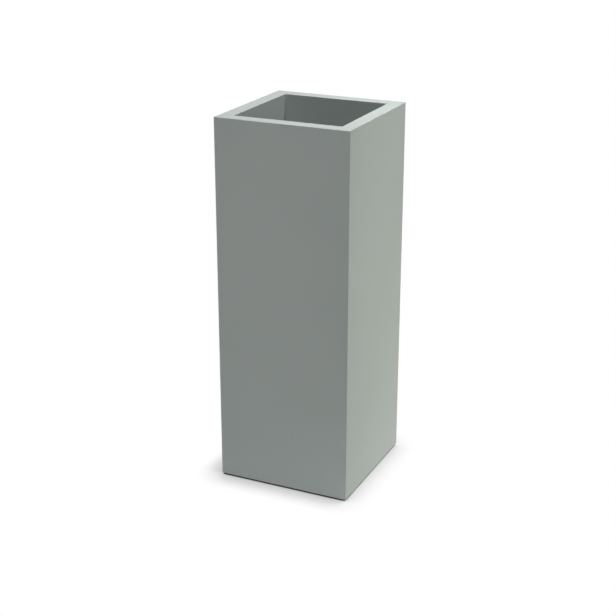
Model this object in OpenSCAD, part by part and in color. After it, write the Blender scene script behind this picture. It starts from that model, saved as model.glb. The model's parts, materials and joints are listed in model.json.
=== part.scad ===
// Tall square floor planter in folded, mitred sheet metal, with a raised shelf and a lift-out liner.
// Millimetres, +Z up. The origin is on the floor under the middle of the footprint, the front faces -Y.

/* [Shell] */
// Outside width and depth over the walls
body_w = 295; // [270:1:330]
// Height from the floor to the top of the rim
body_h = 796; // [700:1:900]
// Width of the flat rim
rim_w = 30; // [26:1:36]
// How far the inner return drops from the top of the rim
return_h = 80; // [60:1:100]
// Thickness of the wall sheet
sheet_t = 1.5; // [1:0.1:2]
// Outside radius of the walls' folds, which are grooved first and so are sharp inside
edge_r = 0.8; // [0.3:0.1:1]
// Radius that the welded upright corners are dressed to
corner_r = 1; // [0.5:0.1:3]
// Width of the flange that turns in under the base
flange_w = 20; // [15:1:22]
// Height of the safe edge folded back at the foot of the return
hem_h = 12; // [8:1:20]
// Gap inside that folded edge
hem_gap = 0.8; // [0.4:0.1:1.2]

/* [Base and feet] */
// Outside radius of the plain folds in the base pan, the corner angles and the shelf tray
fold_r = 2.5; // [2.2:0.1:3.5]
// Shadow gap between the floor and the walls
foot_gap = 4; // [2:0.5:8]
// Height of the base pan's turned-up edges
pan_lip = 15; // [10:1:25]
// Gap between the base pan and the walls it is welded into
pan_gap = 0.2; // [0.1:0.1:0.5]
// Distance of each foot's axis from the outside of the walls
foot_inset = 36; // [34:1:60]
// Diameter of a foot's pad
foot_d = 25; // [20:1:26]
// Diameter of a foot's stem
foot_stem_d = 9.8; // [8:0.1:12]
// Clearance all round the foot's stem in its hole
foot_fit = 0.1; // [0.05:0.05:0.3]
// Diameter of the drain hole
drain_d = 20; // [16:1:30]
// Clearance all round the drain plug in its hole
plug_fit = 0.3; // [0.2:0.1:0.5]
// How far the plug's flange overlaps the base
plug_lap = 6; // [4:1:8]

/* [Corner angles] */
// Clearance between an angle's free edge and the folded-back return
angle_clear = 4; // [2:0.5:6]
// Gap from the pan's edge, and from the underside of the rim, to an angle's ends
angle_end_gap = 3; // [1:0.5:8]

/* [Shelf] */
// Clearance all round between the shelf tray and the opening it lifts through
tray_clear = 3; // [2:0.5:6]
// Thickness of the tray sheet
tray_t = 1.5; // [1:0.1:2]
// Height of the tray's turned-up edges
tray_lip = 15; // [10:1:25]
// Diameter of the drain holes in the tray and the liner
weep_d = 12; // [8:1:16]
// Spacing of the drain holes
weep_pitch = 50; // [40:1:60]
// Diameter of the two finger holes
finger_d = 26; // [22:1:28]
// Distance of each finger hole from the middle
finger_x = 84; // [82:1:86]
// Width of a shelf bracket
bracket_w = 60; // [45:1:80]
// Thickness of the bracket sheet
bracket_t = 2; // [1.5:0.1:2.5]
// Outside radius of the bracket's folds
bracket_r = 3; // [2.7:0.1:4]
// Height of the bracket's leg on the wall
bracket_h = 58; // [45:1:75]
// How far the tray bears on each bracket
bearing = 13; // [8:1:20]
// Height that the bracket's locating tab stands above it
tab_h = 10; // [6:1:14]
// Width of the locating tab
tab_w = 22; // [15:1:30]
// Play between the tray and each locating tab
tray_play = 1; // [0.5:0.1:1.5]

/* [Liner] */
// Height of the liner
liner_h = 263; // [220:1:300]
// Depth of the liner's top edge below the rim
liner_drop = 95; // [70:1:120]
// Thickness of the liner sheet
liner_t = 0.8; // [0.6:0.1:1.2]
// Play all round between the liner and the tray's edges
liner_play = 2; // [1:0.5:4]
// Radius of the liner's upright corners
liner_r = 12; // [8:1:20]
// Outside radius of the fold round the liner's floor
floor_r = 3; // [2:0.5:5]
// Radius of the wired top edge
bead_r = 3; // [2:0.5:3.5]

/* [Bails] */
// Diameter of the bail wire
wire_d = 5; // [4:0.5:6]
// Spacing of a bail's two legs, centre to centre
bail_w = 88; // [70:1:100]
// Drop of the grip below the pivots
bail_h = 45; // [40:1:52]
// Centreline radius of the bends beside the grip
grip_r = 12; // [8:1:16]
// Centreline radius of the bends at the pivots
knee_r = 5; // [4:0.5:6]
// Clearance all round the wire in its ears
ear_fit = 0.1; // [0.05:0.01:0.1]
// Distance of the pivots from the liner wall
pivot_off = 8; // [7:0.5:9]
// Depth of the pivots below the liner's top edge
pivot_drop = 24; // [20:1:28]
// Height of an ear
ear_h = 18; // [16:1:20]
// Length of an ear's foot along the wall
ear_foot = 22; // [18:1:26]
// Thickness of the ear strap
ear_t = 1.5; // [1:0.1:2]
// Outside radius of the ear's fold
ear_r = 2.5; // [2.2:0.1:3]
// How far the bail's legs stay from the ears
ear_side_gap = 3.5; // [2:0.5:5]
// Diameter of a rivet's shank
rivet_d = 3.2; // [2.4:0.1:4]
// Diameter of a rivet's head
rivet_head_d = 6.4; // [5:0.1:7]
// Spacing of the two rivets in an ear
rivet_pitch = 9; // [8:0.5:10]
// Distance from a rivet's head to the end of the ear's foot
rivet_edge = 1; // [0.5:0.5:2]

/* [Hidden] */
$fn = 64;

// Turn of each side or corner about the upright axis, counted from the front
FRONT = 0;
RIGHT = 90;
BACK = 180;
LEFT = 270;

// Colours
coat = "#A7AEA9";
zinc = "#B4B9BC";
steel = "#9EA2A6";
rubber = "#26282A";

// Heights
wall_z = foot_gap;
pan_z = wall_z + sheet_t;
pan_top = pan_z + sheet_t;
liner_top = body_h - liner_drop;
liner_z = liner_top - liner_h;
shelf_z = liner_z - tray_t;
pivot_z = liner_top - pivot_drop;

// Widths
half_w = body_w / 2;
inner_half = half_w - sheet_t;
opening_half = half_w - rim_w;
pan_w = 2 * (inner_half - pan_gap);
tray_w = 2 * (opening_half - tray_clear);
liner_w = tray_w - 2 * (tray_t + liner_play);
liner_half = liner_w / 2;
liner_inner = liner_half - liner_t;
pivot_x = liner_inner - pivot_off;

// Folded-back edge of the return: its outside radius and the height of its turn
hem_r = hem_gap / 2 + sheet_t;
hem_z = body_h - return_h + hem_r;
hem_u = rim_w - 2 * hem_r;
angle_w = hem_u - sheet_t - angle_clear;

// Size that a cutter runs past the face it cuts
over = 1;

// Quarter of a folded sheet, outside radius r, in the quadrant given by the signs sx and sy
module fold(x, y, r, t, sx, sy) {
  translate([x, y]) intersection() {
    difference() {
      circle(r = r);
      circle(r = r - t);
    }
    mirror([sx < 0 ? 1 : 0, 0]) mirror([0, sy < 0 ? 1 : 0]) square(r);
  }
}

// Grooved fold of a sheet: outside corner at x, y with radius r, the sheet lying towards sx and sy
module grooved_fold(x, y, r, t, sx, sy) {
  translate([x, y]) mirror([sx < 0 ? 1 : 0, 0]) mirror([0, sy < 0 ? 1 : 0]) {
    translate([r, 0]) square([t - r, t]);
    translate([0, r]) square([r, t - r]);
    intersection() {
      translate([r, r]) circle(r = r);
      square(r);
    }
  }
}

// Flat stretch of sheet from one corner to the opposite one
module flat(x0, y0, x1, y1) {
  translate([x0, y0]) square([x1 - x0, y1 - y0]);
}

// Square of width w with corners of radius r
module soft_square(w, r) {
  square([w - 2 * r, w], center = true);
  square([w, w - 2 * r], center = true);
  for (x = [-1, 1], y = [-1, 1]) translate([x * (w / 2 - r), y * (w / 2 - r)]) circle(r = r);
}

// Stands a section up and runs it along X for the given length, centred: section x goes to Y, y to Z
module run(length) {
  translate([-length / 2, 0, 0]) rotate([90, 0, 90]) linear_extrude(length) children();
}

// Section of a wall from its outer face inwards: flange, wall, rim, return and folded-back edge
module wall_section() {
  flat(sheet_t, wall_z, flange_w, wall_z + sheet_t);
  grooved_fold(0, wall_z, edge_r, sheet_t, 1, 1);
  flat(0, wall_z + sheet_t, sheet_t, body_h - sheet_t);
  grooved_fold(0, body_h, edge_r, sheet_t, 1, -1);
  flat(sheet_t, body_h - sheet_t, rim_w - sheet_t, body_h);
  grooved_fold(rim_w, body_h, edge_r, sheet_t, -1, -1);
  flat(rim_w - sheet_t, hem_z, rim_w, body_h - sheet_t);
  fold(rim_w - hem_r, hem_z, hem_r, sheet_t, 1, -1);
  fold(rim_w - hem_r, hem_z, hem_r, sheet_t, -1, -1);
  flat(hem_u, hem_z, hem_u + sheet_t, hem_z + hem_h);
}

// One wall, mitred to its neighbours along the diagonals of the plan
module wall_panel(turn) {
  color(coat) rotate(turn) intersection() {
    translate([0, -half_w, 0]) run(body_w) wall_section();
    translate([0, 0, wall_z - over]) linear_extrude(body_h + over) intersection() {
      soft_square(body_w, corner_r);
      polygon([[-half_w, -half_w], [half_w, -half_w], [0, 0]]);
    }
  }
}

// Tray folded from one sheet: a floor with four turned-up edges, open at the corners
module folded_tray(w, t, r, lip) {
  linear_extrude(t) square(w - 2 * r, center = true);
  for (turn = [FRONT, RIGHT, BACK, LEFT]) rotate(turn) translate([0, -w / 2, 0]) run(w - 2 * r) {
    fold(r, r, r, t, -1, -1);
    flat(0, r, t, lip);
  }
}

// The four places of a foot
module at_corners(inset) {
  for (x = [-1, 1], y = [-1, 1]) translate([x * (half_w - inset), y * (half_w - inset), 0]) children();
}

// Bottom of the planter, resting on the four flanges
module base_pan() {
  color(coat) difference() {
    translate([0, 0, pan_z]) folded_tray(pan_w, sheet_t, fold_r, pan_lip);
    at_corners(foot_inset) translate([0, 0, pan_z - over])
      cylinder(d = foot_stem_d + 2 * foot_fit, h = sheet_t + 2 * over);
    translate([0, 0, pan_z - over]) cylinder(d = drain_d, h = sheet_t + 2 * over);
  }
}

// Angle that backs a welded corner from the base pan up to the rim
module corner_angle(turn) {
  foot_z = pan_z + pan_lip + angle_end_gap;
  top_z = body_h - sheet_t - angle_end_gap;
  color(coat) rotate(turn) translate([-inner_half, -inner_half, foot_z]) linear_extrude(top_z - foot_z) {
    fold(fold_r, fold_r, fold_r, sheet_t, -1, -1);
    flat(fold_r, 0, angle_w, sheet_t);
    flat(0, fold_r, sheet_t, angle_w);
  }
}

// Push-in foot: a pad under the base pan, and a stem through it with a barbed head
module foot(turn) {
  pad_r = foot_d / 2;
  stem_r = foot_stem_d / 2;
  pad_edge = 2;
  barb = 2;
  barb_edge = 1;
  barb_h = 7;
  color(rubber) rotate(turn) translate([foot_inset - half_w, foot_inset - half_w, 0])
    rotate_extrude() {
      translate([0, pad_edge]) square([pad_r, pan_z - pad_edge]);
      square([pad_r - pad_edge, pad_edge]);
      intersection() {
        translate([pad_r - pad_edge, pad_edge]) circle(r = pad_edge);
        translate([pad_r - pad_edge, 0]) square(pad_edge);
      }
      translate([0, pan_z]) square([stem_r, sheet_t]);
      polygon([[0, pan_top], [stem_r + barb, pan_top], [stem_r + barb, pan_top + barb_edge],
        [stem_r - barb_edge, pan_top + barb_h], [0, pan_top + barb_h]]);
    }
}

// Stopper of the drain hole: a flange on the base pan, a tapered stem below and a knob above
module drain_plug() {
  stem_r = drain_d / 2 - plug_fit;
  flange_h = 3;
  neck_r = 4.5;
  neck_h = 7;
  knob_r = 7.5;
  knob_h = 7;
  tip = 1.5;
  tip_gap = 0.5;
  tip_z = wall_z + tip_gap;
  color(rubber) rotate_extrude() {
    polygon([[0, tip_z], [stem_r - tip, tip_z], [stem_r, tip_z + tip], [stem_r, pan_top], [0, pan_top]]);
    translate([0, pan_top]) square([drain_d / 2 + plug_lap, flange_h]);
    translate([0, pan_top + flange_h]) square([neck_r, neck_h]);
    translate([0, pan_top + flange_h + neck_h]) intersection() {
      translate([0, knob_h / 2]) circle(r = knob_r);
      square([knob_r, knob_h]);
    }
  }
}

// Bracket on the middle of one wall: a leg, a ledge with a lanced-up locating tab, and two cheeks
module shelf_bracket(turn) {
  reach = inner_half - (tray_w / 2 - bearing);
  tab_u = inner_half - tray_w / 2 - tray_play;
  leg_z = shelf_z - bracket_h;
  cheek_x = bracket_w - bracket_t;
  color(coat) rotate(turn) translate([0, -inner_half, 0]) {
    difference() {
      run(bracket_w) {
        flat(0, leg_z, bracket_t, shelf_z - bracket_r);
        fold(bracket_r, shelf_z - bracket_r, bracket_r, bracket_t, -1, 1);
        flat(bracket_r, shelf_z - bracket_t, reach, shelf_z);
      }
      translate([-tab_w / 2, tab_u - tab_h, shelf_z - bracket_t - over])
        cube([tab_w, tab_h - bracket_t + bracket_r, bracket_t + 2 * over]);
    }
    run(tab_w) {
      fold(tab_u - bracket_t + bracket_r, shelf_z - bracket_t + bracket_r, bracket_r, bracket_t, -1, -1);
      flat(tab_u - bracket_t, shelf_z - bracket_t + bracket_r, tab_u, shelf_z + tab_h);
    }
    for (x = [-1, 1]) translate([x * cheek_x / 2, 0, 0]) run(bracket_t)
      polygon([[bracket_t, leg_z + bracket_t], [bracket_r, leg_z + bracket_t],
        [reach, shelf_z - bracket_t - bracket_r], [reach, shelf_z - bracket_t],
        [bracket_t, shelf_z - bracket_t]]);
  }
}

// Raised floor, with drain holes and two finger holes to lift it by
module shelf_tray() {
  color(zinc) translate([0, 0, shelf_z]) difference() {
    folded_tray(tray_w, tray_t, fold_r, tray_lip);
    for (x = [-1:1], y = [-1:1]) translate([x * weep_pitch, y * weep_pitch, -over])
      cylinder(d = weep_d, h = tray_t + 2 * over);
    for (x = [-1, 1]) translate([x * finger_x, 0, -over]) cylinder(d = finger_d, h = tray_t + 2 * over);
  }
}

// Section of the liner's wall, its outer face at x = 0 and its inside towards -x: the edge of the floor,
// fold, wall and wired edge
module liner_section() {
  flat(-floor_r - liner_t, 0, -floor_r, liner_t);
  fold(-floor_r, floor_r, floor_r, liner_t, 1, -1);
  flat(-liner_t, floor_r, 0, liner_h - bead_r);
  translate([-liner_t / 2, liner_h - bead_r]) circle(r = bead_r);
}

// Lift-out tub: one wall section run round a square with rounded corners, and a floor
module liner() {
  straight = liner_w - 2 * liner_r;
  color(zinc) difference() {
    translate([0, 0, liner_z]) {
      linear_extrude(liner_t) soft_square(liner_w - 2 * floor_r, liner_r - floor_r);
      for (turn = [FRONT, RIGHT, BACK, LEFT]) rotate(turn) {
        translate([0, liner_half, 0]) run(straight) liner_section();
        translate([liner_half - liner_r, liner_half - liner_r, 0]) rotate_extrude(angle = 90)
          translate([liner_r, 0]) liner_section();
      }
    }
    for (x = [-1, 1], y = [-1, 1]) translate([x * weep_pitch, y * weep_pitch, liner_z - over])
      cylinder(d = weep_d, h = liner_t + 2 * over);
    at_rivets() translate([0, 0, -over - liner_t]) cylinder(d = rivet_d, h = liner_t + 2 * over);
  }
}

// Distance of an ear's upright tab from the middle plane, to the face that meets the bail
ear_y = bail_w / 2 + wire_d / 2 + ear_side_gap;
// Distance of the rivets from the middle plane
rivet_y = ear_y + ear_foot - rivet_head_d / 2 - rivet_edge;

// The places of the rivets, +Z pointing into the liner with z = 0 on the wall's inner face
module at_rivets() {
  for (side = [0, 180], y = [-1, 1], z = [-1, 1]) rotate(side)
    translate([liner_inner, y * rivet_y, pivot_z + z * rivet_pitch / 2]) rotate([0, -90, 0]) children();
}

// Straight stretch of wire
module wire(length) {
  cylinder(d = wire_d, h = length);
}

// Quarter turn of wire of centreline radius r, in its own XY plane
module wire_bend(r) {
  rotate_extrude(angle = 90) translate([r, 0]) circle(d = wire_d);
}

// Half of a bail in the YZ plane, pivot axis at the origin: end, knee, leg, bend and half the grip
module half_bail() {
  leg_y = bail_w / 2;
  end_y = ear_y + ear_t + wire_d;
  translate([0, leg_y + knee_r, 0]) rotate([-90, 0, 0]) wire(end_y - leg_y - knee_r);
  translate([0, leg_y + knee_r, -knee_r]) rotate([90, 0, 90]) rotate(90) wire_bend(knee_r);
  translate([0, leg_y, grip_r - bail_h]) wire(bail_h - grip_r - knee_r);
  translate([0, leg_y - grip_r, grip_r - bail_h]) rotate([90, 0, 90]) rotate(-90) wire_bend(grip_r);
  translate([0, 0, -bail_h]) rotate([-90, 0, 0]) wire(leg_y - grip_r);
}

// Drop handle of bent wire, hanging from its ears on one side wall of the liner
module bail(side) {
  color(steel) rotate(side) translate([pivot_x, 0, pivot_z]) {
    half_bail();
    mirror([0, 1, 0]) half_bail();
  }
}

// Pair of ears on one side wall: each a foot on the wall, folded to a tab that the wire turns in
module bail_ears(side) {
  tab_reach = pivot_off + ear_h / 2 - ear_t * 2;
  color(zinc) rotate(side) for (y = [0, 1]) mirror([0, y, 0]) difference() {
    translate([liner_inner, ear_y, pivot_z - ear_h / 2]) mirror([1, 0, 0]) linear_extrude(ear_h) {
      fold(ear_r, ear_r, ear_r, ear_t, -1, -1);
      flat(0, ear_r, ear_t, ear_foot);
      flat(ear_r, 0, tab_reach, ear_t);
    }
    translate([pivot_x, ear_y - over, pivot_z]) rotate([-90, 0, 0])
      cylinder(d = wire_d + 2 * ear_fit, h = ear_t + 2 * over);
    for (z = [-1, 1]) translate([liner_inner + over, rivet_y, pivot_z + z * rivet_pitch / 2])
      rotate([0, -90, 0]) cylinder(d = rivet_d, h = ear_t + 2 * over);
  }
}

// Rivets that hold the ears: a domed head inside the liner and an upset tail outside
module ear_rivets() {
  head_h = rivet_head_d / 4;
  tail_r = rivet_d * 0.75;
  tail_h = 1;
  dome_r = (pow(rivet_head_d / 2, 2) + pow(head_h, 2)) / (2 * head_h);
  color(steel) at_rivets() rotate_extrude() {
    translate([0, -liner_t]) square([rivet_d / 2, liner_t + ear_t]);
    translate([0, -liner_t - tail_h]) square([tail_r, tail_h]);
    translate([0, ear_t]) intersection() {
      translate([0, head_h - dome_r]) circle(r = dome_r);
      square([rivet_head_d / 2, head_h]);
    }
  }
}

module front_panel() wall_panel(FRONT);
module right_panel() wall_panel(RIGHT);
module back_panel() wall_panel(BACK);
module left_panel() wall_panel(LEFT);
module corner_angle_front_left() corner_angle(FRONT);
module corner_angle_front_right() corner_angle(RIGHT);
module corner_angle_back_right() corner_angle(BACK);
module corner_angle_back_left() corner_angle(LEFT);
module shelf_bracket_front() shelf_bracket(FRONT);
module shelf_bracket_right() shelf_bracket(RIGHT);
module shelf_bracket_back() shelf_bracket(BACK);
module shelf_bracket_left() shelf_bracket(LEFT);
module foot_front_left() foot(FRONT);
module foot_front_right() foot(RIGHT);
module foot_back_right() foot(BACK);
module foot_back_left() foot(LEFT);
module left_bail() bail(180);
module right_bail() bail(0);
module left_bail_ears() bail_ears(180);
module right_bail_ears() bail_ears(0);

front_panel();
right_panel();
back_panel();
left_panel();
base_pan();
corner_angle_front_left();
corner_angle_front_right();
corner_angle_back_right();
corner_angle_back_left();
shelf_bracket_front();
shelf_bracket_right();
shelf_bracket_back();
shelf_bracket_left();
foot_front_left();
foot_front_right();
foot_back_right();
foot_back_left();
drain_plug();
shelf_tray();
liner();
left_bail();
right_bail();
left_bail_ears();
right_bail_ears();
ear_rivets();
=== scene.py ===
"""Looks of a tall square floor planter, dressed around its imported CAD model.

Every CAD node keeps its shape and gets its finish here: satin powder coat on the welded shell, spangled
galvanising on the shelf tray, the liner and the ears, drawn stainless steel on the bails and the rivets,
and moulded rubber on the feet and the plug. The marks of manufacture that the solids leave out are added
as meshes: spot welds, weld beads, the fillet welds of the opening's corners and the liner's lock seam.
All sizes are in metres unless a name says otherwise.
"""
import json
import logging
import math
from dataclasses import dataclass, field
from enum import Enum
from typing import Any, Iterable

import bmesh
import bpy
from mathutils import Matrix, Vector


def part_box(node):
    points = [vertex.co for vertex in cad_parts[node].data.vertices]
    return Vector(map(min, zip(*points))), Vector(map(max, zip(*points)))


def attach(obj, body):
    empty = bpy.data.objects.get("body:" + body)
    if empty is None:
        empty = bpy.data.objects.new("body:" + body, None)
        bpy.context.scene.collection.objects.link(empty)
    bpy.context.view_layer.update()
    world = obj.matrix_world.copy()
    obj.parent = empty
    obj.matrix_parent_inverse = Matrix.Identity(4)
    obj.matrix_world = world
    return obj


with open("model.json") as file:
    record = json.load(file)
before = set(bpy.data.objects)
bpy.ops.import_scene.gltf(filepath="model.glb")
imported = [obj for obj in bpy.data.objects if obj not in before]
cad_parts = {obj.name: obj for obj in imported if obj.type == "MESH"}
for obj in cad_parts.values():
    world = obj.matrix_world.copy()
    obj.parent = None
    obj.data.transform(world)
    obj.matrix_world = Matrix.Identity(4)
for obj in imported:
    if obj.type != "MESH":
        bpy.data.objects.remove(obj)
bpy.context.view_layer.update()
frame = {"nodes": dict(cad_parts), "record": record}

log = logging.getLogger("planter")

MM = 0.001
MERGE_DISTANCE = 1e-6
WHITE = "#FFFFFF"
FACING = "facing"
QUARTERS = range(4)


class Body(Enum):
    """The CAD bodies that the added pieces ride on."""

    SHELL = "shell"
    LINER = "liner"


class Slot(Enum):
    """The record's material slots."""

    POWDER_COAT = "powder_coat"
    GALVANISED = "galvanised_sheet"
    BRIGHT_STEEL = "bright_steel"
    RUBBER = "rubber"


def linear(code: str) -> tuple[float, float, float, float]:
    """Turns an sRGB hex colour into Blender's linear values, by the curve of the sRGB standard.

    Args:
        code: the colour as "#RRGGBB".

    Returns:
        Linear red, green, blue and an alpha of 1.
    """
    parts = [int(code[i : i + 2], 16) / 255 for i in (1, 3, 5)]
    red, green, blue = (c / 12.92 if c <= 0.04045 else ((c + 0.055) / 1.055) ** 2.4 for c in parts)
    return red, green, blue, 1.0


def add_node(
    tree: bpy.types.NodeTree, kind: str, inputs: dict[str, Any] | None = None, **settings: Any
) -> Any:
    """Adds one node with its settings, values and links.

    Args:
        tree: the node tree that gets the node.
        kind: the node's Blender type.
        inputs: socket name or identifier to a value, or to the output socket that feeds it.
        settings: attributes of the node itself.

    Returns:
        The new node.
    """
    made = tree.nodes.new(kind)
    for name, value in settings.items():
        setattr(made, name, value)
    for name, value in (inputs or {}).items():
        socket = next(s for s in made.inputs if s.enabled and name in (s.identifier, s.name))
        if isinstance(value, bpy.types.NodeSocket):
            tree.links.new(value, socket)
        else:
            socket.default_value = value
    return made


def result(made: Any, name: str) -> Any:
    """Finds an output of a node by its identifier or its name."""
    return next(s for s in made.outputs if s.enabled and name in (s.identifier, s.name))


def new_material(name: str) -> tuple[bpy.types.Material, bpy.types.NodeTree]:
    """Makes an empty node material.

    Args:
        name: the material's name.

    Returns:
        The material and its node tree.
    """
    material = bpy.data.materials.new(name)
    material.use_nodes = True
    material.node_tree.nodes.clear()
    return material, material.node_tree


def new_piece(name: str, mesh: bpy.types.Mesh) -> bpy.types.Object:
    """Makes an object of a mesh and puts it in the scene.

    Args:
        name: the object's name.
        mesh: its mesh, already in place.

    Returns:
        The new object, at the origin.
    """
    piece = bpy.data.objects.new(name, mesh)
    bpy.context.scene.collection.objects.link(piece)
    return piece


def per_mm(size_mm: float) -> float:
    """Texture scale whose features are about size_mm apart on Object coordinates in metres."""
    return 1 / (size_mm * MM)


@dataclass(frozen=True)
class Finish:
    """What the planter's finishes share: two tones, a range of roughness and a fine relief.

    Each finish adds the sizes of its patterns, which are the distances between their features.
    """

    name: str
    tones: tuple[str, str]
    roughness: tuple[float, float]
    relief_mm: float
    relief_strength: float

    def skin(
        self, tree: bpy.types.NodeTree, tone: Any, gloss: Any, height: Any, optics: dict[str, float]
    ) -> None:
        """Adds the surface that three patterns drive, and the material's output.

        Args:
            tree: the material's node tree.
            tone: pattern that goes from the first tone to the second.
            gloss: pattern that goes from the least roughness to the most.
            height: pattern that raises the relief.
            optics: values of the shader's own sockets, the same all over the surface.
        """
        colour = add_node(
            tree, "ShaderNodeMix",
            {"Factor_Float": tone, "A_Color": linear(self.tones[0]), "B_Color": linear(self.tones[1])},
            data_type="RGBA")
        rough = add_node(
            tree, "ShaderNodeMapRange",
            {"Value": gloss, "To Min": self.roughness[0], "To Max": self.roughness[1]})
        bump = add_node(
            tree, "ShaderNodeBump",
            {"Height": height, "Strength": self.relief_strength, "Distance": self.relief_mm * MM})
        surface = add_node(
            tree, "ShaderNodeBsdfPrincipled",
            {"Base Color": result(colour, "Result"), "Roughness": rough.outputs["Result"],
             "Normal": bump.outputs["Normal"], **optics})
        add_node(tree, "ShaderNodeOutputMaterial", {"Surface": surface.outputs["BSDF"]})


@dataclass(frozen=True)
class PowderCoat(Finish):
    """Satin polyester powder coat, sprayed on steel and baked."""

    # To the eye: a flat, even, pale grey with a slight green cast, its sheen wandering a little from place
    # to place. The orange peel has its real size and only breaks up a glancing light.
    name: str = "satin_powder_coat"
    tones: tuple[str, str] = ("#A6ADAA", "#A1A9A5")
    roughness: tuple[float, float] = (0.44, 0.52)
    relief_mm: float = 0.012
    relief_strength: float = 0.5
    cloud_mm: float = 180.0
    cloud_detail: float = 3.0
    cloud_roughness: float = 0.45
    peel_mm: float = 2.2
    peel_detail: float = 1.0
    peel_roughness: float = 0.4
    ior: float = 1.5

    def material(self) -> bpy.types.Material:
        """Builds large soft clouds of tone and gloss over fine orange peel.

        Returns:
            The finished material.
        """
        made, tree = new_material(self.name)
        place = add_node(tree, "ShaderNodeTexCoord").outputs["Object"]
        clouds = add_node(
            tree, "ShaderNodeTexNoise",
            {"Vector": place, "Scale": per_mm(self.cloud_mm),
             "Detail": self.cloud_detail, "Roughness": self.cloud_roughness}).outputs["Fac"]
        peel = add_node(
            tree, "ShaderNodeTexNoise",
            {"Vector": place, "Scale": per_mm(self.peel_mm),
             "Detail": self.peel_detail, "Roughness": self.peel_roughness}).outputs["Fac"]
        self.skin(tree, clouds, clouds, peel, {"IOR": self.ior})
        return made


@dataclass(frozen=True)
class Galvanised(Finish):
    """Hot-dip galvanised sheet steel, its zinc grown into crystals as it froze."""

    # To the eye: a mosaic of wavy crystals, each a little lighter or darker and duller than the next.
    name: str = "hot_dip_galvanised_steel"
    tones: tuple[str, str] = ("#B6BABD", "#989EA2")
    roughness: tuple[float, float] = (0.36, 0.56)
    relief_mm: float = 0.01
    relief_strength: float = 0.3
    metallic: float = 1.0
    spangle_mm: float = 9.0
    waver_mm: float = 4.5
    waver_reach_mm: float = 2.0
    # The zinc's own grain is a few hundredths of a millimetre. It is drawn coarser, so that it shows.
    grain_mm: float = 0.8
    grain_detail: float = 2.0

    def material(self) -> bpy.types.Material:
        """Builds Voronoi crystals with wavy borders over a fine grain.

        Returns:
            The finished material.
        """
        made, tree = new_material(self.name)
        place = add_node(tree, "ShaderNodeTexCoord").outputs["Object"]
        waver = add_node(tree, "ShaderNodeTexNoise", {"Vector": place, "Scale": per_mm(self.waver_mm)})
        reach = (self.waver_reach_mm * MM,) * 3
        bent = add_node(
            tree, "ShaderNodeVectorMath",
            {"Vector": waver.outputs["Color"], "Vector_001": reach, "Vector_002": place},
            operation="MULTIPLY_ADD")
        crystals = add_node(
            tree, "ShaderNodeTexVoronoi",
            {"Vector": bent.outputs["Vector"], "Scale": per_mm(self.spangle_mm)})
        each = add_node(tree, "ShaderNodeSeparateColor", {"Color": crystals.outputs["Color"]}).outputs
        grain = add_node(
            tree, "ShaderNodeTexNoise",
            {"Vector": place, "Scale": per_mm(self.grain_mm), "Detail": self.grain_detail}).outputs["Fac"]
        self.skin(tree, each["Red"], each["Green"], grain, {"Metallic": self.metallic})
        return made


@dataclass(frozen=True)
class DrawnSteel(Finish):
    """Stainless steel wire, drawn bright through a die."""

    # To the eye: a clear sheen with faint lines along the grip and cloudy marks of handling.
    name: str = "drawn_stainless_steel"
    tones: tuple[str, str] = ("#C9CBCD", "#B3B6B8")
    roughness: tuple[float, float] = (0.22, 0.38)
    relief_mm: float = 0.01
    relief_strength: float = 0.25
    metallic: float = 1.0
    # Real die lines are a few hundredths of a millimetre apart. They are drawn coarser, so that they show.
    line_mm: float = 0.4
    line_stretch: tuple[float, float, float] = (1.0, 0.04, 1.0)
    line_detail: float = 2.0
    mark_mm: float = 6.0
    mark_detail: float = 4.0

    def material(self) -> bpy.types.Material:
        """Builds lines stretched along the grip's length and broad marks of handling.

        Returns:
            The finished material.
        """
        made, tree = new_material(self.name)
        place = add_node(tree, "ShaderNodeTexCoord").outputs["Object"]
        drawn = add_node(tree, "ShaderNodeMapping", {"Vector": place, "Scale": self.line_stretch})
        lines = add_node(
            tree, "ShaderNodeTexNoise",
            {"Vector": drawn.outputs["Vector"], "Scale": per_mm(self.line_mm),
             "Detail": self.line_detail}).outputs["Fac"]
        marks = add_node(
            tree, "ShaderNodeTexNoise",
            {"Vector": place, "Scale": per_mm(self.mark_mm), "Detail": self.mark_detail}).outputs["Fac"]
        self.skin(tree, marks, lines, lines, {"Metallic": self.metallic})
        return made


@dataclass(frozen=True)
class MouldedRubber(Finish):
    """Black EPDM rubber, moulded in a spark-eroded tool."""

    # To the eye: a matt black with soft patches of dust.
    name: str = "moulded_rubber"
    tones: tuple[str, str] = ("#232527", "#323436")
    roughness: tuple[float, float] = (0.66, 0.82)
    relief_mm: float = 0.03
    relief_strength: float = 0.4
    dust_mm: float = 9.0
    dust_detail: float = 5.0
    # The grain that the tool leaves is about 0.1 mm. It is drawn coarser, so that it shows.
    grain_mm: float = 0.7
    ior: float = 1.52

    def material(self) -> bpy.types.Material:
        """Builds clouds of dust over a fine grain.

        Returns:
            The finished material.
        """
        made, tree = new_material(self.name)
        place = add_node(tree, "ShaderNodeTexCoord").outputs["Object"]
        dust = add_node(
            tree, "ShaderNodeTexNoise",
            {"Vector": place, "Scale": per_mm(self.dust_mm), "Detail": self.dust_detail}).outputs["Fac"]
        grain = add_node(
            tree, "ShaderNodeTexNoise", {"Vector": place, "Scale": per_mm(self.grain_mm)}).outputs["Fac"]
        self.skin(tree, dust, dust, grain, {"IOR": self.ior})
        return made


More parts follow.
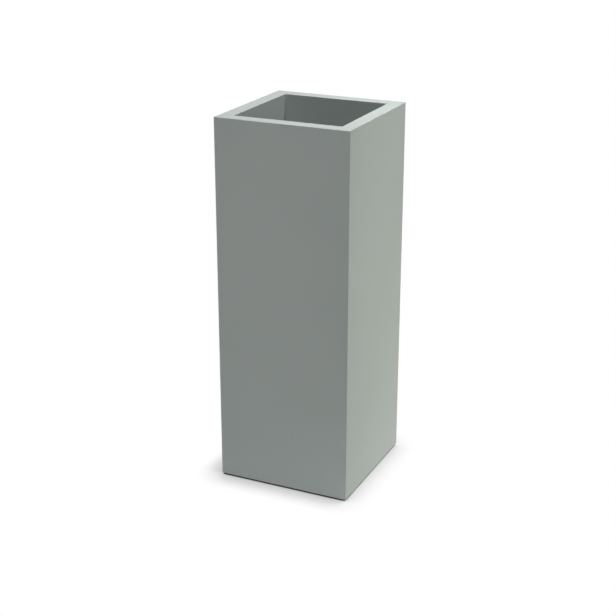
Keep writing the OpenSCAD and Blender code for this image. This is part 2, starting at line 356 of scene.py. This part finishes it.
@dataclass
class Finishes:
    """The four finishes of the planter, built once and handed out by slot."""

    made: dict[Slot, bpy.types.Material] = field(default_factory=dict)

    def build(self) -> None:
        """Builds every finish."""
        self.made = {
            Slot.POWDER_COAT: PowderCoat().material(),
            Slot.GALVANISED: Galvanised().material(),
            Slot.BRIGHT_STEEL: DrawnSteel().material(),
            Slot.RUBBER: MouldedRubber().material(),
        }

    def dress_cad(self) -> None:
        """Gives each CAD node the finish of its slot in the record."""
        for part in frame["record"]["subparts"]:
            finish = self.made[Slot(part["material_slot"])]
            mesh = frame["nodes"][part["node"]].data
            mesh.materials.clear()
            mesh.materials.append(finish)
            log.info("%s: %s", part["node"], finish.name)


def finish_piece(piece: bpy.types.Object, body: Body) -> None:
    """Makes a finished piece ride on its body and reports it.

    Args:
        piece: the finished mesh object.
        body: the CAD body that it moves with.
    """
    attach(piece, body.value)
    log.info("%s: %d faces, rides on %s", piece.name, len(piece.data.polygons), body.value)


def turned(point: Iterable[float], quarter: int) -> Vector:
    """Turns a point about the upright axis by quarter turns, from the front towards the right."""
    return Matrix.Rotation(quarter * math.pi / 2, 3, "Z") @ Vector(point)


def quarter_turn(steps: int) -> list[float]:
    """Lists the angles of a quarter circle from 0 on, in equal steps."""
    return [math.pi / 2 * i / steps for i in range(steps + 1)]


def prisms(
    name: str, outlines: list[list[Vector]], bottom: float, top: float, finish: bpy.types.Material
) -> bpy.types.Object:
    """Stands closed outlines up as upright prisms, all in one mesh.

    Args:
        name: name of the object and its mesh.
        outlines: the corners of each prism's outline in order, in plan.
        bottom: height of the lower ends.
        top: height of the upper ends.
        finish: material of the mesh.

    Returns:
        The new object, linked to the scene.
    """
    work = bmesh.new()
    for outline in outlines:
        rings = [[work.verts.new((p.x, p.y, height)) for p in outline] for height in (bottom, top)]
        count = len(outline)
        for i in range(count):
            after = (i + 1) % count
            work.faces.new((rings[0][i], rings[0][after], rings[1][after], rings[1][i]))
        work.faces.new(rings[0])
        work.faces.new(list(reversed(rings[1])))
    bmesh.ops.remove_doubles(work, verts=work.verts, dist=MERGE_DISTANCE)
    bmesh.ops.recalc_face_normals(work, faces=work.faces)
    mesh = bpy.data.meshes.new(name)
    work.to_mesh(mesh)
    work.free()
    mesh.materials.append(finish)
    return new_piece(name, mesh)


@dataclass(frozen=True)
class Mark:
    """One raised mark: where it stands and which way it faces."""

    place: Vector
    facing: Vector


@dataclass
class RaisedMarks:
    """Low domes of metal standing on a surface, placed by a Geometry Nodes tree."""

    name: str
    diameter: float
    crown: float
    finish: bpy.types.Material
    segments: int = 14
    rings: int = 8
    marks: list[Mark] = field(default_factory=list)

    def row(self, start: Vector, end: Vector, facing: Vector, count: int) -> None:
        """Adds an evenly spaced row of marks.

        Args:
            start: place of the first mark.
            end: place of the last mark.
            facing: direction that the marks stand up in.
            count: how many there are.
        """
        for i in range(count):
            self.marks.append(Mark(start.lerp(end, i / max(count - 1, 1)), facing))

    def tree(self) -> bpy.types.NodeTree:
        """Builds the tree that puts a flattened dome on each point, turned to face outwards.

        Returns:
            The tree, with the marks' sizes and their finish as named inputs.
        """
        tree = bpy.data.node_groups.new(f"{self.name}_tree", "GeometryNodeTree")
        face = tree.interface
        face.new_socket("Points", in_out="INPUT", socket_type="NodeSocketGeometry")
        for name in ("Diameter", "Crown"):
            face.new_socket(name, in_out="INPUT", socket_type="NodeSocketFloat")
        face.new_socket("Finish", in_out="INPUT", socket_type="NodeSocketMaterial")
        face.new_socket("Marks", in_out="OUTPUT", socket_type="NodeSocketGeometry")
        given = add_node(tree, "NodeGroupInput").outputs
        radius = add_node(
            tree, "ShaderNodeMath", {"Value": given["Diameter"], "Value_001": 0.5}, operation="MULTIPLY")
        size = add_node(
            tree, "ShaderNodeCombineXYZ",
            {"X": radius.outputs["Value"], "Y": radius.outputs["Value"], "Z": given["Crown"]})
        dome = add_node(
            tree, "GeometryNodeMeshUVSphere",
            {"Segments": self.segments, "Rings": self.rings, "Radius": 1.0})
        points = add_node(tree, "GeometryNodeMeshToPoints", {"Mesh": given["Points"]})
        facing = add_node(
            tree, "GeometryNodeInputNamedAttribute", {"Name": FACING}, data_type="FLOAT_VECTOR")
        turn = add_node(
            tree, "FunctionNodeAlignRotationToVector", {"Vector": facing.outputs["Attribute"]}, axis="Z")
        placed = add_node(
            tree, "GeometryNodeInstanceOnPoints",
            {"Points": points.outputs["Points"], "Instance": dome.outputs["Mesh"],
             "Rotation": turn.outputs["Rotation"], "Scale": size.outputs["Vector"]})
        solid = add_node(tree, "GeometryNodeRealizeInstances", {"Geometry": placed.outputs["Instances"]})
        smooth = add_node(tree, "GeometryNodeSetShadeSmooth", {"Geometry": solid.outputs["Geometry"]})
        coated = add_node(
            tree, "GeometryNodeSetMaterial",
            {"Geometry": smooth.outputs["Geometry"], "Material": given["Finish"]})
        add_node(tree, "NodeGroupOutput", {"Marks": coated.outputs["Geometry"]})
        return tree

    def build(self) -> bpy.types.Object:
        """Runs the tree over the marks.

        Returns:
            The result as a plain mesh object.
        """
        seeds = bpy.data.meshes.new(f"{self.name}_points")
        seeds.from_pydata([m.place for m in self.marks], [], [])
        seeds.attributes.new(FACING, "FLOAT_VECTOR", "POINT")
        seeds.attributes[FACING].data.foreach_set("vector", [c for m in self.marks for c in m.facing])
        carrier = new_piece(f"{self.name}_carrier", seeds)
        tree = self.tree()
        modifier = carrier.modifiers.new("marks", "NODES")
        modifier.node_group = tree
        values = {"Diameter": self.diameter, "Crown": self.crown, "Finish": self.finish}
        for item in tree.interface.items_tree:
            if item.in_out == "INPUT" and item.name in values:
                modifier[item.identifier] = values[item.name]
        evaluated = carrier.evaluated_get(bpy.context.evaluated_depsgraph_get())
        mesh = bpy.data.meshes.new_from_object(evaluated)
        carrier.modifiers.clear()
        bpy.data.objects.remove(carrier)
        mesh.name = self.name
        return new_piece(self.name, mesh)


@dataclass
class Shell:
    """The welded shell: its spot welds, the beads under its mitred flanges and the opening's fillet welds.

    The first five sizes are those of the folded sheets that the marks stand on: the thickness of walls and
    brackets, the rounding of the walls' folds, the depth of the return that drops from the rim, and the
    turn of its folded-back edge.
    """

    finishes: Finishes
    sheet: float = 1.5 * MM
    bracket_sheet: float = 2 * MM
    edge_round: float = 0.8 * MM
    return_depth: float = 80 * MM
    hem_turn: float = 1.9 * MM
    spot: float = 5.5 * MM
    spot_crown: float = 0.35 * MM
    spot_pitch: float = 45 * MM
    leg_spots: tuple[float, float] = (10 * MM, 28 * MM)
    leg_spots_abreast: int = 2
    bead: float = 3.4 * MM
    bead_crown: float = 0.8 * MM
    bead_span: tuple[float, float] = (3 * MM, 19 * MM)
    ripple: float = 1.3 * MM
    fillet: float = 3 * MM
    fillet_steps: int = 8

    def spot_welds(self) -> RaisedMarks:
        """Places spot welds along the corner angles, the base pan's edges and the bracket legs.

        Returns:
            The marks, not yet built.
        """
        coat = self.finishes.made[Slot.POWDER_COAT]
        marks = RaisedMarks("spot_welds", self.spot, self.spot_crown, coat)
        angle_low, angle_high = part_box("corner_angle_front_left")
        pan_low, pan_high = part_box("base_pan")
        leg_low, leg_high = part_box("shelf_bracket_front")
        half_pitch = self.spot_pitch / 2
        angle_x = (angle_low.x + angle_high.x) / 2
        angle_y = angle_low.y + self.sheet
        angle_count = int((angle_high.z - angle_low.z - self.spot_pitch) / self.spot_pitch) + 1
        edge_x = pan_high.x - half_pitch
        edge_y = pan_low.y + self.sheet
        edge_z = (pan_low.z + pan_high.z + self.sheet) / 2
        edge_count = int((pan_high.x - pan_low.x) / self.spot_pitch)
        leg_x = leg_high.x / 2
        leg_y = leg_low.y + self.bracket_sheet
        for quarter in QUARTERS:
            inward = turned((0, 1, 0), quarter)
            for x in (angle_x, -angle_x):
                start = turned((x, angle_y, angle_low.z + half_pitch), quarter)
                end = turned((x, angle_y, angle_high.z - half_pitch), quarter)
                marks.row(start, end, inward, angle_count)
            start = turned((-edge_x, edge_y, edge_z), quarter)
            end = turned((edge_x, edge_y, edge_z), quarter)
            marks.row(start, end, inward, edge_count)
            for height in self.leg_spots:
                start = turned((-leg_x, leg_y, leg_low.z + height), quarter)
                end = turned((leg_x, leg_y, leg_low.z + height), quarter)
                marks.row(start, end, inward, self.leg_spots_abreast)
        return marks

    def weld_beads(self) -> RaisedMarks:
        """Places the ripples of the beads under the base, along the mitre of each pair of flanges.

        Returns:
            The marks, not yet built.
        """
        coat = self.finishes.made[Slot.POWDER_COAT]
        marks = RaisedMarks("weld_beads", self.bead, self.bead_crown, coat)
        low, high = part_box("front_panel")
        outer, inner = (high.x - inset for inset in self.bead_span)
        count = int((outer - inner) * math.sqrt(2) / self.ripple) + 1
        for quarter in QUARTERS:
            start = turned((outer, outer, low.z), quarter)
            end = turned((inner, inner, low.z), quarter)
            marks.row(start, end, Vector((0, 0, -1)), count)
        return marks

    def return_welds(self) -> bpy.types.Object:
        """Builds the fillet welds, dressed hollow, up the four inner corners of the opening.

        Returns:
            The welds as one mesh object.
        """
        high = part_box("front_panel")[1]
        corner = -high.y
        centre = corner - self.fillet
        outline = [Vector((corner, corner, 0))]
        for turn in quarter_turn(self.fillet_steps):
            x, y = (centre + self.fillet * share for share in (math.cos(turn), math.sin(turn)))
            outline.append(Vector((x, y, 0)))
        outlines = [[turned(p, quarter) for p in outline] for quarter in QUARTERS]
        bottom = high.z - self.return_depth + self.hem_turn
        top = high.z - self.edge_round
        return prisms("return_welds", outlines, bottom, top, self.finishes.made[Slot.POWDER_COAT])

    def build(self) -> None:
        """Builds the shell's added pieces."""
        for piece in (self.spot_welds().build(), self.weld_beads().build(), self.return_welds()):
            finish_piece(piece, Body.SHELL)


@dataclass
class Liner:
    """The lift-out tub: the lock seam that closes its folded wall at the back."""

    finishes: Finishes
    wire_overhang: float = 2.6 * MM
    seam_width: float = 9 * MM
    seam_height: float = 1.1 * MM
    seam_steps: int = 10
    seam_foot: float = 3 * MM
    seam_head: float = 6 * MM

    def lock_seam(self) -> bpy.types.Object:
        """Builds the flat raised seam up the outside of the back wall, with rounded edges.

        The seam stops clear of the floor's fold and of the wired top edge, which stands out past the wall.

        Returns:
            The seam as one mesh object.
        """
        low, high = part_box("liner")
        wall_y = high.y - self.wire_overhang
        half = self.seam_width / 2
        edge = self.seam_height
        side = [Vector((-half, wall_y, 0))]
        for turn in quarter_turn(self.seam_steps):
            side.append(Vector((-half + edge * (1 - math.cos(turn)), wall_y + edge * math.sin(turn), 0)))
        outline = side + [Vector((-p.x, p.y, 0)) for p in reversed(side)]
        finish = self.finishes.made[Slot.GALVANISED]
        return prisms("liner_lock_seam", [outline], low.z + self.seam_foot, high.z - self.seam_head, finish)

    def build(self) -> None:
        """Builds the liner's added pieces."""
        finish_piece(self.lock_seam(), Body.LINER)


@dataclass(frozen=True)
class SoftBox:
    """One area lamp of the studio, its power in watts."""

    name: str
    place: tuple[float, float, float]
    aim: tuple[float, float, float]
    size: tuple[float, float]
    power: float
    colour: str = WHITE
    spread_degrees: float = 180.0

    def build(self) -> None:
        """Hangs the lamp and turns it to its aim."""
        data = bpy.data.lights.new(self.name, "AREA")
        data.shape = "RECTANGLE"
        data.size, data.size_y = self.size
        data.spread = math.radians(self.spread_degrees)
        data.energy = self.power
        data.color = linear(self.colour)[:3]
        lamp = bpy.data.objects.new(self.name, data)
        place = Vector(self.place)
        lamp.location = place
        lamp.rotation_euler = (Vector(self.aim) - place).to_track_quat("-Z", "Y").to_euler()
        bpy.context.scene.collection.objects.link(lamp)


@dataclass
class Studio:
    """White floor and background, soft lamps, and the camera at the photograph's viewing angle.

    The floor's shadow and the dark line under the walls are painted, not cast by the lamps. The shadow's
    stops say how white the floor is, from 0 to 1, for each share of open sky above it. The gap's edges are
    the shares between which the painted dark line under the walls fades out.
    """

    floor_size: float = 14.0
    paper: str = "#E6E6E6"
    shadow_samples: int = 16
    shadow_reach: float = 60 * MM
    shadow_lean: tuple[float, float, float] = (0.4, 0.1, 1.0)
    shadow_stops: tuple[tuple[float, float], ...] = (
        (0.0, 0.02), (0.38, 0.14), (0.5, 0.63), (0.64, 0.66),
        (0.7, 0.72), (0.8, 0.837), (0.9, 0.922), (1.0, 1.0))
    gap_reach: float = 12 * MM
    gap_light: float = 0.45
    gap_edges: tuple[float, float] = (0.38, 0.52)
    # The pool is painted light: a glow of the floor round the planter, standing in for bounced light.
    pool_centre: tuple[float, float, float] = (0.1, 0.1, 0.0)
    pool_reach: float = 0.8
    pool_strength: float = 0.455
    lamps: tuple[SoftBox, ...] = (
        SoftBox("ceiling", (0.0, 0.0, 2.6), (0.0, 0.0, 0.8), (1.4, 1.4), 18.2),
        SoftBox("over_the_rim", (0.45, 0.25, 1.9), (0.1, 0.05, 0.8), (0.2, 0.2), 1.40, spread_degrees=60.0),
        SoftBox("low_right", (1.3, 0.5, 0.2), (0.15, 0.0, 0.15), (1.0, 0.3), 6.94, "#FBFFEF"),
        SoftBox("high_front", (0.4, -1.8, 2.2), (0.0, 0.0, 0.6), (1.2, 1.2), 13.9),
        SoftBox("low_front", (-0.6, -1.6, 0.2), (-0.1, -0.15, 0.15), (1.2, 0.3), 3.6),
        SoftBox("back_fill", (-1.3, 1.6, 0.6), (0.0, 0.0, 0.4), (1.2, 0.8), 5.0),
    )
    lens_mm: float = 75.84
    camera_place: tuple[float, float, float] = (1.0906, -2.3740, 1.3555)
    camera_aim: tuple[float, float, float] = (-0.0087, 0.0, 0.3621)
    camera_roll_degrees: float = 0.06

    def seen_directly(self, tree: bpy.types.NodeTree) -> Any:
        """Adds the test for a surface that the camera sees, by itself, in a gloss or through glass.

        Args:
            tree: the node tree of the surface or the world.

        Returns:
            The output socket that is 1 where it is seen so, and 0 for all other light.
        """
        path = add_node(tree, "ShaderNodeLightPath").outputs
        gloss = add_node(
            tree, "ShaderNodeMath",
            {"Value": path["Is Camera Ray"], "Value_001": path["Is Glossy Ray"]}, operation="MAXIMUM")
        seen = add_node(
            tree, "ShaderNodeMath",
            {"Value": gloss.outputs["Value"], "Value_001": path["Is Transmission Ray"]},
            operation="MAXIMUM")
        return seen.outputs["Value"]

    def painted_shadow_floor(self, tree: bpy.types.NodeTree) -> Any:
        """Adds the floor as it is seen: white, with a painted soft shadow and a painted dark line under the
        walls.

        Both are painted from how closed in the floor is, not cast by the lamps. The shadow is measured
        round a direction that leans to the bright side, and the line by a much shorter reach, straight up.

        Args:
            tree: the floor's node tree.

        Returns:
            The output socket of the seen floor's shader.
        """
        # Painted shadow: the seen floor darkens by how closed in it is within the reach, leaning to the
        # bright side, and not by the lamps.
        lean = add_node(tree, "ShaderNodeVectorMath", {"Vector": self.shadow_lean}, operation="NORMALIZE")
        near = add_node(
            tree, "ShaderNodeAmbientOcclusion",
            {"Distance": self.shadow_reach, "Normal": lean.outputs["Vector"]}, samples=self.shadow_samples)
        depth = add_node(tree, "ShaderNodeValToRGB", {"Fac": near.outputs["AO"]})
        ramp = depth.color_ramp.elements
        for position, _ in self.shadow_stops[1:-1]:
            ramp.new(position)
        for stop, (position, grey) in zip(ramp, self.shadow_stops):
            stop.position = position
            stop.color = (grey, grey, grey, 1)
        # Painted shade: the dark line in the gap under the walls' edges.
        close = add_node(
            tree, "ShaderNodeAmbientOcclusion", {"Distance": self.gap_reach}, samples=self.shadow_samples)
        gap = add_node(
            tree, "ShaderNodeMapRange",
            {"Value": close.outputs["AO"], "From Min": self.gap_edges[0], "From Max": self.gap_edges[1],
             "To Min": self.gap_light})
        seen = add_node(
            tree, "ShaderNodeEmission",
            {"Color": depth.outputs["Color"], "Strength": gap.outputs["Result"]})
        return seen.outputs["Emission"]

    def lit_paper(self, tree: bpy.types.NodeTree) -> Any:
        """Adds the floor as other light finds it: white paper with a painted glow round the planter that
        stands in for bounced light.

        Args:
            tree: the floor's node tree.

        Returns:
            The output socket of the lit floor's shader.
        """
        place = add_node(tree, "ShaderNodeTexCoord").outputs["Object"]
        # Painted light: the floor glows round the planter, strongest at the pool's centre, as a stand-in
        # for light bounced off the paper.
        away = add_node(
            tree, "ShaderNodeVectorMath", {"Vector": place, "Vector_001": self.pool_centre},
            operation="DISTANCE")
        pool = add_node(
            tree, "ShaderNodeMapRange",
            {"Value": away.outputs["Value"], "From Max": self.pool_reach,
             "To Min": self.pool_strength, "To Max": 0.0}, interpolation_type="SMOOTHSTEP")
        glow = add_node(
            tree, "ShaderNodeEmission", {"Color": linear(WHITE), "Strength": pool.outputs["Result"]})
        paper = add_node(tree, "ShaderNodeBsdfDiffuse", {"Color": linear(self.paper)})
        paper_and_glow = add_node(
            tree, "ShaderNodeAddShader",
            {"Shader": paper.outputs["BSDF"], "Shader_001": glow.outputs["Emission"]})
        return paper_and_glow.outputs["Shader"]

    def floor_material(self) -> bpy.types.Material:
        """Builds the white floor: a painted shadow where it is seen from above, clear from below.

        Returns:
            The finished material.
        """
        made, tree = new_material("studio_floor")
        paper = add_node(
            tree, "ShaderNodeMixShader",
            {"Fac": self.seen_directly(tree), "Shader": self.lit_paper(tree),
             "Shader_001": self.painted_shadow_floor(tree)})
        clear = add_node(tree, "ShaderNodeBsdfTransparent")
        sided = add_node(
            tree, "ShaderNodeMixShader",
            {"Fac": add_node(tree, "ShaderNodeNewGeometry").outputs["Backfacing"],
             "Shader": paper.outputs["Shader"], "Shader_001": clear.outputs["BSDF"]})
        add_node(tree, "ShaderNodeOutputMaterial", {"Surface": sided.outputs["Shader"]})
        return made

    def floor(self) -> None:
        """Lays the floor at the height that the feet stand on."""
        half = self.floor_size / 2
        corners = [(-half, -half, 0), (half, -half, 0), (half, half, 0), (-half, half, 0)]
        mesh = bpy.data.meshes.new("studio_floor")
        mesh.from_pydata(corners, [], [(0, 1, 2, 3)])
        mesh.materials.append(self.floor_material())
        piece = new_piece("studio_floor", mesh)

    def world(self) -> None:
        """Makes the background white where it is seen, and dark for the light that the lamps give."""
        world = bpy.data.worlds.new("studio")
        world.use_nodes = True
        tree = world.node_tree
        tree.nodes.clear()
        white = add_node(
            tree, "ShaderNodeBackground", {"Color": linear(WHITE), "Strength": self.seen_directly(tree)})
        add_node(tree, "ShaderNodeOutputWorld", {"Surface": white.outputs["Background"]})
        bpy.context.scene.world = world

    def camera(self) -> None:
        """Sets the camera above the planter's front right corner."""
        data = bpy.data.cameras.new("camera")
        data.lens = self.lens_mm
        camera = bpy.data.objects.new("camera", data)
        place = Vector(self.camera_place)
        look = (Vector(self.camera_aim) - place).to_track_quat("-Z", "Y").to_matrix()
        roll = Matrix.Rotation(math.radians(self.camera_roll_degrees), 3, "Z")
        camera.rotation_euler = (look @ roll).to_euler()
        camera.location = place
        bpy.context.scene.collection.objects.link(camera)
        bpy.context.scene.camera = camera

    def build(self) -> None:
        """Builds the floor, the world, the lamps and the camera."""
        self.floor()
        self.world()
        for lamp in self.lamps:
            lamp.build()
        self.camera()
        bpy.context.scene.view_settings.view_transform = "Standard"


def main() -> None:
    """Dresses the planter and sets the studio around it."""
    logging.basicConfig(level=logging.INFO, format="%(message)s")
    finishes = Finishes()
    finishes.build()
    finishes.dress_cad()
    Shell(finishes).build()
    Liner(finishes).build()
    Studio().build()


if __name__ == "__main__":
    main()
